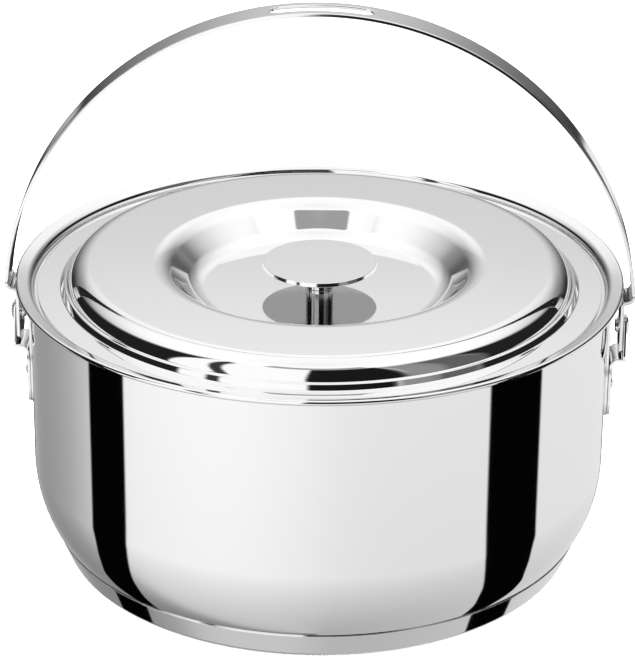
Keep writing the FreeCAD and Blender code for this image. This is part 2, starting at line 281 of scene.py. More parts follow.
def polish_marks() -> bpy.types.NodeTree:
    """Node group for polished steel: fine lines, scattered scratches and soft haze.

    Returns:
        The node group, made once.
    """
    found = bpy.data.node_groups.get("polish_marks")
    if found:
        return found
    tree = bpy.data.node_groups.new("polish_marks", "ShaderNodeTree")
    socket(tree, "Worked Vector", "NodeSocketVector")
    socket(tree, "Plain Vector", "NodeSocketVector")
    for name, value in (("Line Scale", 2600.0), ("Roughness", 0.05), ("Haze", 0.02), ("Scratches", 0.03),
                        ("Tone", 0.02)):
        socket(tree, name, "NodeSocketFloat", value=value)
    socket(tree, "Base", "NodeSocketColor")
    for name, kind in (("Roughness", "NodeSocketFloat"), ("Height", "NodeSocketFloat"),
                       ("Color", "NodeSocketColor")):
        socket(tree, name, kind, "OUTPUT")
    given, out = tree.nodes.new("NodeGroupInput"), tree.nodes.new("NodeGroupOutput")
    worked, plain = given.outputs["Worked Vector"], given.outputs["Plain Vector"]
    lines = noise_node(tree, worked, given.outputs["Line Scale"], 3.0)
    cloud = noise_node(tree, plain, 22.0, 4.0)
    wave = tree.nodes.new("ShaderNodeTexVoronoi")
    wave.feature = "DISTANCE_TO_EDGE"
    wave.inputs["Scale"].default_value = 140.0
    wave.inputs["Randomness"].default_value = 1.0
    tree.links.new(plain, wave.inputs["Vector"])
    thin = tree.nodes.new("ShaderNodeMapRange")
    thin.inputs["From Max"].default_value = 0.006
    thin.inputs["To Min"].default_value = 1.0
    thin.inputs["To Max"].default_value = 0.0
    tree.links.new(wave.outputs["Distance"], thin.inputs["Value"])
    patchy = math_node(tree, "MULTIPLY", thin.outputs[0], math_node(tree, "POWER", cloud, 4.0))
    scratch = math_node(tree, "MULTIPLY", patchy, given.outputs["Scratches"])
    haze = math_node(tree, "MULTIPLY", math_node(tree, "SUBTRACT", cloud, 0.5), given.outputs["Haze"])
    fine = math_node(tree, "MULTIPLY", math_node(tree, "SUBTRACT", lines, 0.5), given.outputs["Haze"])
    rough = math_node(tree, "ADD", given.outputs["Roughness"], math_node(tree, "ADD", haze, fine))
    marked = math_node(tree, "ADD", rough, scratch)
    tree.links.new(math_node(tree, "MAXIMUM", marked, 0.01), out.inputs["Roughness"])
    tree.links.new(math_node(tree, "SUBTRACT", lines, patchy), out.inputs["Height"])
    tone = tree.nodes.new("ShaderNodeHueSaturation")
    tree.links.new(given.outputs["Base"], tone.inputs["Color"])
    shade = math_node(tree, "MULTIPLY", math_node(tree, "SUBTRACT", lines, 0.5), given.outputs["Tone"])
    tree.links.new(math_node(tree, "ADD", shade, 1.0), tone.inputs["Value"])
    tree.links.new(tone.outputs[0], out.inputs["Color"])
    return tree


@dataclass(frozen=True)
class SteelFinish:
    """How a piece of steel or aluminium is finished; under paints shade on the faces that look down."""

    name: str
    color: tuple[float, float, float] = (0.93, 0.93, 0.935)
    grain: Grain = Grain.TURNED
    roughness: float = 0.035
    haze: float = 0.012
    scratches: float = 0.02
    tone: float = 0.012
    line_scale: float = 2600.0
    bump: float = 0.012
    stretch: float = 60.0
    # Painted shade: brightness of the base colour on faces that look down, against the rest; 1.0 paints none.
    under: float = 1.0

    def material(self) -> bpy.types.Material:
        """The material for this finish, made once.

        Returns:
            The material.
        """
        found = bpy.data.materials.get(self.name)
        if found:
            return found
        made = bpy.data.materials.new(self.name)
        made.use_nodes = True
        tree = made.node_tree
        shader = tree.nodes["Principled BSDF"]
        shader.inputs["Metallic"].default_value = 1.0
        marks = tree.nodes.new("ShaderNodeGroup")
        marks.node_tree = polish_marks()
        place = tree.nodes.new("ShaderNodeTexCoord")
        tree.links.new(place.outputs["Object"], marks.inputs["Plain Vector"])
        if self.grain is Grain.TURNED:
            turned = tree.nodes.new("ShaderNodeGroup")
            turned.node_tree = turned_coordinates()
            turned.inputs["Stretch"].default_value = self.stretch
            tree.links.new(place.outputs["Object"], turned.inputs[0])
            tree.links.new(turned.outputs[0], marks.inputs["Worked Vector"])
        elif self.grain is Grain.DRAWN:
            mapping = tree.nodes.new("ShaderNodeMapping")
            mapping.inputs["Scale"].default_value = (1.0 / self.stretch, 1.0, 1.0)
            tree.links.new(place.outputs["UV"], mapping.inputs["Vector"])
            tree.links.new(mapping.outputs[0], marks.inputs["Worked Vector"])
        else:
            tree.links.new(place.outputs["Object"], marks.inputs["Worked Vector"])
        for name, value in (("Line Scale", self.line_scale), ("Roughness", self.roughness),
                            ("Haze", self.haze),
                            ("Scratches", self.scratches), ("Tone", self.tone)):
            marks.inputs[name].default_value = value
        marks.inputs["Base"].default_value = (*self.color, 1.0)
        # Painted shade: faces that look down get their base colour darkened by the under factor.
        if self.under < 1.0:
            facing = tree.nodes.new("ShaderNodeSeparateXYZ")
            tree.links.new(place.outputs["Normal"], facing.inputs[0])
            shade = tree.nodes.new("ShaderNodeMix")
            shade.data_type = "RGBA"
            shade.inputs[6].default_value = (*(c * self.under for c in self.color), 1.0)
            shade.inputs[7].default_value = (*self.color, 1.0)
            tree.links.new(map_range(tree, facing.outputs["Z"], -0.95, -0.7), shade.inputs[0])
            tree.links.new(shade.outputs[2], marks.inputs["Base"])
        bump = tree.nodes.new("ShaderNodeBump")
        bump.inputs["Strength"].default_value = self.bump
        bump.inputs["Distance"].default_value = 0.0001
        tree.links.new(marks.outputs["Height"], bump.inputs["Height"])
        tree.links.new(marks.outputs["Color"], shader.inputs["Base Color"])
        tree.links.new(marks.outputs["Roughness"], shader.inputs["Roughness"])
        tree.links.new(bump.outputs[0], shader.inputs["Normal"])
        return made


MIRROR = SteelFinish("mirror_polish")
LID_MIRROR = SteelFinish("lid_mirror_polish", roughness=0.04)
# The knob's underside gets painted shade: its base colour drops to 0.42 on faces that look down.
KNOB_SATIN_SHADED_UNDER = SteelFinish("knob_satin_polish", roughness=0.09, haze=0.05, tone=0.05, bump=0.03, under=0.42)
POST_MIRROR = SteelFinish("post_mirror_polish", color=(0.8, 0.8, 0.805), roughness=0.03)
STRAP_POLISH = SteelFinish("polished_strap", grain=Grain.DRAWN, roughness=0.09, haze=0.03, tone=0.03, bump=0.02)
EAR_POLISH = SteelFinish("polished_ears", grain=Grain.DRAWN, roughness=0.07, haze=0.03, tone=0.03)
RIVET_POLISH = SteelFinish("polished_rivets", grain=Grain.PLAIN, roughness=0.06, line_scale=900.0)
BASE_STEEL = SteelFinish("polished_base", roughness=0.05, haze=0.03)
CORE_ALUMINIUM = SteelFinish("turned_aluminium", color=(0.86, 0.86, 0.87), grain=Grain.PLAIN, roughness=0.35,
                             haze=0.1, line_scale=700.0)
FASTENER_STEEL = SteelFinish("turned_fasteners", color=(0.8, 0.8, 0.81), roughness=0.22, haze=0.08, tone=0.06,
                             line_scale=1800.0)


# ---------------------------------------------------------------- geometry node trees
def tree_with_ends(name: str, inputs: Sequence[tuple[str, str]]) -> tuple:
    """A new geometry tree with its sockets.

    Args:
        name: The tree's name.
        inputs: Name and socket type of each input after the geometry.

    Returns:
        The tree, its input node and its output node.
    """
    tree = bpy.data.node_groups.new(name, "GeometryNodeTree")
    socket(tree, "Geometry", "NodeSocketGeometry")
    for label, kind in inputs:
        socket(tree, label, kind)
    socket(tree, "Geometry", "NodeSocketGeometry", "OUTPUT")
    return tree, tree.nodes.new("NodeGroupInput"), tree.nodes.new("NodeGroupOutput")


def end_tree(tree: bpy.types.NodeTree, geometry: bpy.types.NodeSocket, given: bpy.types.Node,
             out: bpy.types.Node) -> None:
    """Closes a tree: merged, smooth, realised and dressed in the Material input.

    Args:
        tree: The tree to close.
        geometry: Socket with the shape made so far.
        given: The tree's input node.
        out: The tree's output node.
    """
    merge = tree.nodes.new("GeometryNodeMergeByDistance")
    merge.inputs["Distance"].default_value = 2e-6
    smooth = tree.nodes.new("GeometryNodeSetShadeSmooth")
    real = tree.nodes.new("GeometryNodeRealizeInstances")
    dress = tree.nodes.new("GeometryNodeSetMaterial")
    tree.links.new(geometry, real.inputs[0])
    tree.links.new(real.outputs[0], merge.inputs[0])
    tree.links.new(merge.outputs[0], smooth.inputs[0])
    last = tree.nodes.new("GeometryNodeRealizeInstances")
    tree.links.new(smooth.outputs[0], last.inputs[0])
    tree.links.new(last.outputs[0], dress.inputs[0])
    tree.links.new(given.outputs["Material"], dress.inputs["Material"])
    tree.links.new(dress.outputs[0], out.inputs[0])


def vector_math(tree: bpy.types.NodeTree, operation: str, a: object, b: object) -> bpy.types.NodeSocket:
    """A Vector Math node with each input linked or set; a SCALE takes its factor as b.

    Args:
        tree: The tree that gets the node.
        operation: Name of the operation.
        a: First vector, or a socket that gives it.
        b: Second vector or the factor, or a socket that gives it.

    Returns:
        The result.
    """
    node = tree.nodes.new("ShaderNodeVectorMath")
    node.operation = operation
    second = node.inputs["Scale"] if operation == "SCALE" else node.inputs[1]
    for slot, given in ((node.inputs[0], a), (second, b)):
        if isinstance(given, bpy.types.NodeSocket):
            tree.links.new(given, slot)
        else:
            slot.default_value = given
    return node.outputs[0]


def lathe_tree() -> bpy.types.NodeTree:
    """Tree that turns a chain of section points about the Z axis.

    Returns:
        The tree, made once.
    """
    found = bpy.data.node_groups.get("turned_piece")
    if found:
        return found
    tree, given, out = tree_with_ends("turned_piece", [("Segments", "NodeSocketInt"),
                                                       ("Material", "NodeSocketMaterial")])
    size = tree.nodes.new("GeometryNodeAttributeDomainSize")
    tree.links.new(given.outputs["Geometry"], size.inputs[0])
    grid = tree.nodes.new("GeometryNodeMeshGrid")
    tree.links.new(math_node(tree, "ADD", given.outputs["Segments"], 1.0), grid.inputs["Vertices X"])
    tree.links.new(size.outputs["Point Count"], grid.inputs["Vertices Y"])
    place = tree.nodes.new("GeometryNodeInputPosition")
    split = tree.nodes.new("ShaderNodeSeparateXYZ")
    tree.links.new(place.outputs[0], split.inputs[0])
    angle = math_node(tree, "MULTIPLY", math_node(tree, "ADD", split.outputs[0], 0.5), 2 * math.pi)
    last = math_node(tree, "SUBTRACT", size.outputs["Point Count"], 1.0)
    along = math_node(tree, "ADD", split.outputs[1], 0.5)
    index = math_node(tree, "ROUND", math_node(tree, "MULTIPLY", along, last))
    sample = tree.nodes.new("GeometryNodeSampleIndex")
    sample.data_type = "FLOAT_VECTOR"
    tree.links.new(given.outputs["Geometry"], sample.inputs["Geometry"])
    tree.links.new(place.outputs[0], sample.inputs["Value"])
    tree.links.new(index, sample.inputs["Index"])
    section = tree.nodes.new("ShaderNodeSeparateXYZ")
    tree.links.new(sample.outputs[0], section.inputs[0])
    radius, height = section.outputs[0], section.outputs[2]
    join = tree.nodes.new("ShaderNodeCombineXYZ")
    tree.links.new(math_node(tree, "MULTIPLY", radius, math_node(tree, "SINE", angle)), join.inputs[0])
    across = math_node(tree, "MULTIPLY", radius, math_node(tree, "COSINE", angle))
    tree.links.new(math_node(tree, "MULTIPLY", across, -1.0), join.inputs[1])
    tree.links.new(height, join.inputs[2])
    move = tree.nodes.new("GeometryNodeSetPosition")
    tree.links.new(grid.outputs[0], move.inputs[0])
    tree.links.new(join.outputs[0], move.inputs["Position"])
    end_tree(tree, move.outputs[0], given, out)
    return tree


def bend_tree() -> bpy.types.NodeTree:
    """Tree that lays a flat strip (X along it, Y across, Z its thickness) along a path object.

    Returns:
        The tree, made once.
    """
    found = bpy.data.node_groups.get("strip_on_path")
    if found:
        return found
    inputs = [("Path", "NodeSocketObject"), ("Draft", "NodeSocketFloat"), ("Thickness", "NodeSocketFloat"),
              ("Material", "NodeSocketMaterial")]
    tree, given, out = tree_with_ends("strip_on_path", inputs)
    info = tree.nodes.new("GeometryNodeObjectInfo")
    tree.links.new(given.outputs["Path"], info.inputs["Object"])
    place = tree.nodes.new("GeometryNodeInputPosition")
    split = tree.nodes.new("ShaderNodeSeparateXYZ")
    tree.links.new(place.outputs[0], split.inputs[0])
    sample = tree.nodes.new("GeometryNodeSampleCurve")
    sample.mode = "LENGTH"
    sample.use_all_curves = True
    tree.links.new(info.outputs["Geometry"], sample.inputs["Curves"])
    tree.links.new(split.outputs[0], sample.inputs["Length"])
    across = (0.0, 1.0, 0.0)
    normal = vector_math(tree, "CROSS_PRODUCT", sample.outputs["Tangent"], across)
    lift = vector_math(tree, "SCALE", normal, split.outputs[2])
    lifted = vector_math(tree, "ADD", sample.outputs["Position"], lift)
    middle = math_node(tree, "MULTIPLY", given.outputs["Thickness"], 0.5)
    height = math_node(tree, "ADD", split.outputs[2], middle)
    narrower = math_node(tree, "SUBTRACT", 1.0, math_node(tree, "MULTIPLY", height, given.outputs["Draft"]))
    join = tree.nodes.new("ShaderNodeCombineXYZ")
    tree.links.new(math_node(tree, "MULTIPLY", split.outputs[1], narrower), join.inputs[1])
    move = tree.nodes.new("GeometryNodeSetPosition")
    tree.links.new(given.outputs["Geometry"], move.inputs[0])
    tree.links.new(vector_math(tree, "ADD", lifted, join.outputs[0]), move.inputs["Position"])
    end_tree(tree, move.outputs[0], given, out)
    return tree


def rivet_tree() -> bpy.types.NodeTree:
    """Tree that sets a row of rivets: instances of one rivet, evenly spaced across the ear.

    Returns:
        The tree, made once.
    """
    found = bpy.data.node_groups.get("rivet_row")
    if found:
        return found
    inputs = [("Rivet", "NodeSocketObject"), ("Count", "NodeSocketInt"), ("Start", "NodeSocketVector"),
              ("Step", "NodeSocketVector"), ("Material", "NodeSocketMaterial")]
    tree, given, out = tree_with_ends("rivet_row", inputs)
    row = tree.nodes.new("GeometryNodeMeshLine")
    row.mode = "OFFSET"
    tree.links.new(given.outputs["Count"], row.inputs["Count"])
    tree.links.new(given.outputs["Start"], row.inputs["Start Location"])
    tree.links.new(given.outputs["Step"], row.inputs["Offset"])
    info = tree.nodes.new("GeometryNodeObjectInfo")
    tree.links.new(given.outputs["Rivet"], info.inputs["Object"])
    info.inputs["As Instance"].default_value = True
    place = tree.nodes.new("GeometryNodeInstanceOnPoints")
    tree.links.new(row.outputs[0], place.inputs["Points"])
    tree.links.new(info.outputs["Geometry"], place.inputs["Instance"])
    end_tree(tree, place.outputs[0], given, out)
    return tree


def set_inputs(modifier: bpy.types.Modifier, **values: object) -> None:
    """Sets a Geometry Nodes modifier's inputs by name, through each socket's identifier.

    Args:
        modifier: The modifier.
        **values: One value for each input's name, with underscores for spaces.
    """
    for item in modifier.node_group.interface.items_tree:
        if getattr(item, "in_out", "") == "INPUT" and item.name.replace(" ", "_") in values:
            modifier[item.identifier] = values[item.name.replace(" ", "_")]


# ---------------------------------------------------------------- making pieces
def new_object(name: str, data: bpy.types.ID) -> bpy.types.Object:
    """An object in the scene.

    Args:
        name: Name of the object.
        data: Its mesh, curve or camera.

    Returns:
        The object, linked.
    """
    made = bpy.data.objects.new(name, data)
    bpy.context.scene.collection.objects.link(made)
    return made


def signed_volume(mesh: bpy.types.Mesh) -> float:
    """Volume of a closed mesh, negative if its faces point inwards.

    Args:
        mesh: The mesh.

    Returns:
        The volume in its own units.
    """
    mesh.calc_loop_triangles()
    total = 0.0
    for tri in mesh.loop_triangles:
        a, b, c = (mesh.vertices[i].co for i in tri.vertices)
        total += a.dot(b.cross(c))
    return total / 6


def plain_piece(source: bpy.types.Object, name: str, matrix: Optional[Matrix] = None) -> bpy.types.Object:
    """Turns an object with modifiers into a plain mesh object at the origin.

    Args:
        source: The object with its modifiers; it is removed.
        name: Name of the finished piece.
        matrix: Place to apply to the mesh.

    Returns:
        The finished piece, with its faces outwards.
    """
    bpy.context.view_layer.update()
    graph = bpy.context.evaluated_depsgraph_get()
    mesh = bpy.data.meshes.new_from_object(source.evaluated_get(graph), depsgraph=graph)
    bpy.data.objects.remove(source)
    if matrix is not None:
        mesh.transform(matrix)
    if signed_volume(mesh) < 0:
        mesh.flip_normals()
    mesh.set_sharp_from_angle(angle=math.radians(42))
    mesh.name = name
    return new_object(name, mesh)


def chain(name: str, points: Sequence[Point]) -> bpy.types.Object:
    """A chain of section points, in the X-Z plane, as the start of a turned piece.

    Args:
        name: Name of the piece.
        points: Section points in millimetres.

    Returns:
        The chain.
    """
    mesh = bpy.data.meshes.new(name)
    mesh.from_pydata([(x * MM, 0.0, z * MM) for x, z in points],
                     [(i, i + 1) for i in range(len(points) - 1)], [])
    return new_object(name, mesh)


def turned(name: str, points: Sequence[Point], finish: SteelFinish, segments: int = 288,
           matrix: Optional[Matrix] = None) -> bpy.types.Object:
    """A piece turned about the Z axis from its section.

    Args:
        name: The piece's name.
        points: The section, in millimetres, closed or with both ends on the axis.
        finish: Its finish.
        segments: Steps round the axis.
        matrix: Place to apply after turning.

    Returns:
        The finished piece.
    """
    source = chain(name, points)
    modifier = source.modifiers.new("turned", "NODES")
    modifier.node_group = lathe_tree()
    set_inputs(modifier, Segments=segments, Material=finish.material())
    return plain_piece(source, name, matrix)


def settle(piece: bpy.types.Object, body: str, slot: str, *nodes: str) -> None:
    """Hands a finished piece to its body and hides the nodes that it stands for.

    Args:
        piece: The finished piece.
        body: Body that it moves with.
        slot: Its material slot; not used.
        nodes: The frame's nodes that it replaces.
    """
    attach(piece, body)
    if nodes:
        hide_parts(*nodes)
    log.info("%s: %d faces on %s", piece.name, len(piece.data.polygons), body)


@dataclass(frozen=True)
class Hole:
    """A hole in a flat strip: a slot with round ends, or round if its length is its width."""

    at: float
    width: float
    length: float

    def half(self, s: float) -> float:
        """Half the hole's width at a place along the strip.

        Args:
            s: Place along the strip.

        Returns:
            The half width, 0 outside the hole.
        """
        beyond = abs(s - self.at) - (self.length - self.width) / 2
        if beyond <= 0:
            return self.width / 2
        return math.sqrt(max((self.width / 2) ** 2 - beyond ** 2, 0.0))

    def stations(self) -> list[float]:
        """Places along the strip that its round ends need.

        Returns:
            The places, in order.
        """
        radius = self.width / 2
        flat = (self.length - self.width) / 2
        made = []
        for k in range(13):
            run = radius * math.sin(math.pi / 2 * k / 12)
            made += [self.at - flat - run, self.at + flat + run]
        return made


@dataclass
class Strip:
    """A flat strip cut to an outline, drilled, given thickness and bent along a path."""

    name: str
    length: float
    thickness: float
    half_width: Callable[[float], float]
    stations: list[float]
    holes: list[Hole] = field(default_factory=list)
    rows: int = 5
    soft: float = 0.35
    draft: float = 0.0

    def flat(self) -> bpy.types.Object:
        """The flat strip as a surface: two bands of faces that part round each hole.

        Returns:
            The flat surface.
        """
        places = sorted(set(round(min(max(s, 0.0), self.length), 4)
                            for s in self.stations + [v for h in self.holes for v in h.stations()]))
        verts, faces, uvs = [], [], []
        for s in places:
            wide = max(self.half_width(s), 0.0)
            gap = min(max((h.half(s) for h in self.holes), default=0.0), wide)
            for side in (-1, 1):
                for k in range(self.rows + 1):
                    across = side * (gap + (wide - gap) * k / self.rows)
                    verts.append((s * MM, across * MM, 0.0))
                    uvs.append((s * MM, across * MM))
        stride = 2 * (self.rows + 1)
        for i in range(len(places) - 1):
            for side in (0, 1):
                for k in range(self.rows):
                    a = i * stride + side * (self.rows + 1) + k
                    b = a + stride
                    faces.append((a, b, b + 1, a + 1) if side else (a, a + 1, b + 1, b))
        mesh = bpy.data.meshes.new(self.name)
        mesh.from_pydata(verts, [], faces)
        layer = mesh.uv_layers.new(name="strip")
        for loop in mesh.loops:
            layer.data[loop.index].uv = uvs[loop.vertex_index]
        return new_object(self.name, mesh)

    def bent(self, path: Sequence[Point], finish: SteelFinish,
             matrix: Optional[Matrix] = None) -> bpy.types.Object:
        """The finished strip.

        Args:
            path: Middle line of the strip, in the X-Z plane, in millimetres.
            finish: Its finish.
            matrix: Place to apply to the mesh.

        Returns:
            The bent strip as a plain mesh.
        """
        source = self.flat()
        weld = source.modifiers.new("weld", "WELD")
        weld.merge_threshold = 2e-6
        solid = source.modifiers.new("thickness", "SOLIDIFY")
        solid.thickness = self.thickness * MM
        solid.offset = 0.0
        soften = source.modifiers.new("soft_edges", "BEVEL")
        soften.width = self.soft * MM
        soften.segments = 4
        soften.use_clamp_overlap = False
        soften.limit_method = "ANGLE"
        soften.angle_limit = math.radians(50)
        guide = path_object(self.name + "_path", path)
        bend = source.modifiers.new("bend", "NODES")
        bend.node_group = bend_tree()
        set_inputs(bend, Path=guide, Draft=self.draft / MM, Thickness=self.thickness * MM,
                   Material=finish.material())
        piece = plain_piece(source, self.name, matrix)
        bpy.data.objects.remove(guide)
        return piece


def path_object(name: str, path: Sequence[Point]) -> bpy.types.Object:
    """A curve of straight steps through the path's points, in the X-Z plane.

    Args:
        name: Name of the path.
        path: Points of the path in millimetres.

    Returns:
        The curve.
    """
    curve = bpy.data.curves.new(name, "CURVE")
    curve.dimensions = "3D"
    spline = curve.splines.new("POLY")
    spline.points.add(len(path) - 1)
    for place, (x, z) in zip(spline.points, path):
        place.co = (x * MM, 0.0, z * MM, 1.0)
    return new_object(name, curve)


def path_length(path: Sequence[Point]) -> float:
    """Length of a path through its points."""
    return sum(math.dist(a, b) for a, b in zip(path, path[1:]))


def evenly(start: float, stop: float, step: float) -> list[float]:
    """Places from start to stop, at most a step apart."""
    count = max(1, math.ceil((stop - start) / step))
    return [start + (stop - start) * k / count for k in range(count + 1)]


# ---------------------------------------------------------------- the kettle
def size_of(node: str) -> tuple[Vector, Vector]:
    """A node's box in millimetres."""
    low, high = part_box(node)
    return low / MM, high / MM


@dataclass
class Pot:
    """Pot body, rim ring and clad base."""

    sheet: float = 1.0
    ring_sheet: float = 0.8
    rim_r: float = 150.0
    rim_h: float = field(default_factory=lambda: size_of("rim_ring")[1].z)
    wall_r: float = 143.2
    wall_top: float = field(default_factory=lambda: size_of("kettle_shell")[1].z)
    floor_under: float = field(default_factory=lambda: size_of("kettle_shell")[0].z)
    curve_start: float = 50.3
    curve_r: float = 68.4
    seam_r: float = 133.2
    cap_sheet: float = 0.6
    seam_gap: float = 0.5
    seam_h: float = field(default_factory=lambda: size_of("base_cap")[1].z)
    floor_corner_r: float = 12.0
    roll_r: float = 1.3
    lip_drop: float = 1.9
    lip_bend_r: float = 4.2
    ledge_drop: float = 6.25
    ledge_r: float = 136.6
    foot_r: float = 127.4
    foot_corner_r: float = 3.0

    def wall_slope(self) -> float:
        """Angle of the wall's lower curve at the seam, from upright, in radians."""
        return math.acos(1 - (self.wall_r - self.seam_r + self.cap_sheet + self.seam_gap) / self.curve_r)

    def body(self) -> bpy.types.Object:
        """The pot's wall and floor as one closed sheet.

        Returns:
            The finished piece.
        """
        slope = self.wall_slope()
        seam_h = self.curve_start - self.curve_r * math.sin(slope)
        run = (seam_h - self.floor_under) / math.tan(math.pi / 2 - slope)
        outside = Outline([
            Corner(0, self.floor_under),
            Corner(self.seam_r - self.cap_sheet - self.seam_gap - run, self.floor_under, self.floor_corner_r),
            Corner(self.wall_r, self.curve_start - self.curve_r * math.tan(slope / 2), self.curve_r),
            Corner(self.wall_r, self.wall_top)], arc_step=1.0)
        return turned("kettle_body", sheet_section(outside, self.sheet), MIRROR)

    def rim(self) -> bpy.types.Object:
        """The rim ring: ledge, step, lip and rolled bead in one closed section.

        Returns:
            The finished piece.
        """
        step_r = self.wall_r - self.sheet - self.ring_sheet
        corner = Vector((step_r, self.rim_h - self.lip_drop))
        bead = Vector((self.rim_r - self.roll_r, self.rim_h - self.roll_r))
        reach = bead - corner
        rise = math.atan2(reach.y, reach.x) + math.asin(self.roll_r / reach.length)
        along, up = Vector((math.cos(rise), math.sin(rise))), Vector((-math.sin(rise), math.cos(rise)))
        touch = bead + up * self.roll_r
        top = Outline([Corner(self.ledge_r, self.rim_h - self.ledge_drop),
                       Corner(step_r, self.rim_h - self.ledge_drop, 1.0),
                       Corner(corner.x, corner.y, self.lip_bend_r), Corner(touch.x, touch.y)], arc_step=5.0)
        under = top.beside(-self.ring_sheet).points()
        inset = self.roll_r - self.ring_sheet
        meet = bead + up * inset - along * math.sqrt(self.roll_r ** 2 - inset ** 2)
        sweep = math.radians(270) + math.asin(inset / self.roll_r)
        steps = 44
        roll = []
        for k in range(1, steps):
            spoke = up * self.roll_r
            spoke.rotate(Matrix.Rotation(-sweep * k / steps, 2))
            roll.append(tuple(bead + spoke))
        section = top.points() + roll + [tuple(meet)] + under[-2::-1]
        return turned("rim_ring_lip", section + section[:1], MIRROR)

    def base(self) -> bpy.types.Object:
        """The base cap that wraps the heat core, with a soft upper edge at the seam.

        Returns:
            The finished piece.
        """
        outside = Outline([Corner(0, 0), Corner(self.foot_r, 0, self.foot_corner_r),
                           Corner(self.seam_r, self.seam_h)], arc_step=3.0)
        return turned("clad_base_cap", sheet_section(outside, self.cap_sheet, 0.2), BASE_STEEL)

    def build(self) -> None:
        """Makes the pot's pieces."""
        settle(self.body(), "kettle", "pot_steel", "kettle_shell")
        settle(self.rim(), "kettle", "pot_steel", "rim_ring")
        settle(self.base(), "kettle", "base_steel", "base_cap")


@dataclass
class Lid:
    """Drop-in lid with its knob."""

    pot: Pot
    sheet: float = 1.0
    edge_r: float = 139.4
    flange: float = -5.2
    crown: float = 6.2
    shoulder_r: float = 121.9
    well: float = -8.3
    well_floor_r: float = 62.0
    well_top_r: float = 77.0
    well_floor_bend: float = 12.5
    well_top_bend: float = 13.0
    shoulder_bend: float = 11.8
    knob_r: float = 28.5
    knob_soft: float = 0.25
    knob_draft: float = 0.65
    post_r: float = 6.8
    post_soft: float = 0.3
    screw_hole_r: float = 2.65

    def shell(self) -> bpy.types.Object:
        """The lid's sheet: well, crown, stepped side and the flange.

        Returns:
            The finished piece.
        """
        rim = self.pot.rim_h
        top = Outline([
            Corner(self.screw_hole_r, rim + self.well),
            Corner(self.well_floor_r, rim + self.well, self.well_floor_bend),
            Corner(self.well_top_r, rim + self.crown, self.well_top_bend),
            Corner(self.shoulder_r, rim + self.crown, self.shoulder_bend),
            Corner(124.7, rim - 2.3, 0.6),
            Corner(126.2, rim - 2.6, 0.8),
            Corner(128.0, rim + self.flange, 0.8),
            Corner(self.edge_r, rim + self.flange)], arc_step=3.0)
        section = sheet_section(top, -self.sheet, 0.2)
        return turned("lid_body", section + section[:1], LID_MIRROR)

    def knob(self) -> bpy.types.Object:
        """The knob's flat disc, with softened edges.

        Returns:
            The finished piece.
        """
        low, high = size_of("knob_disc")
        section = Outline([Corner(0, low.z), Corner(self.knob_r, low.z, self.knob_soft),
                           Corner(self.knob_r - self.knob_draft, high.z, self.knob_soft),
                           Corner(0, high.z)], arc_step=10.0, support=0.15)
        return turned("knob_plate", section.points(), KNOB_SATIN_SHADED_UNDER, segments=192)

    def post(self) -> bpy.types.Object:
        """The post that carries the knob, with a softened foot.

        Returns:
            The finished piece.
        """
        low, high = size_of("knob_disc")
        foot = self.pot.rim_h + self.well
        section = Outline([Corner(0, foot), Corner(self.post_r, foot, self.post_soft),
                           Corner(self.post_r, low.z), Corner(0, low.z)], arc_step=10.0, support=0.15)
        return turned("knob_pillar", section.points(), POST_MIRROR, segments=96)

    def build(self) -> None:
        """Makes the lid's pieces."""
        settle(self.shell(), "lid", "lid_steel", "lid_shell")
        settle(self.knob(), "lid", "knob_steel", "knob_disc")
        settle(self.post(), "lid", "knob_steel", "knob_post")


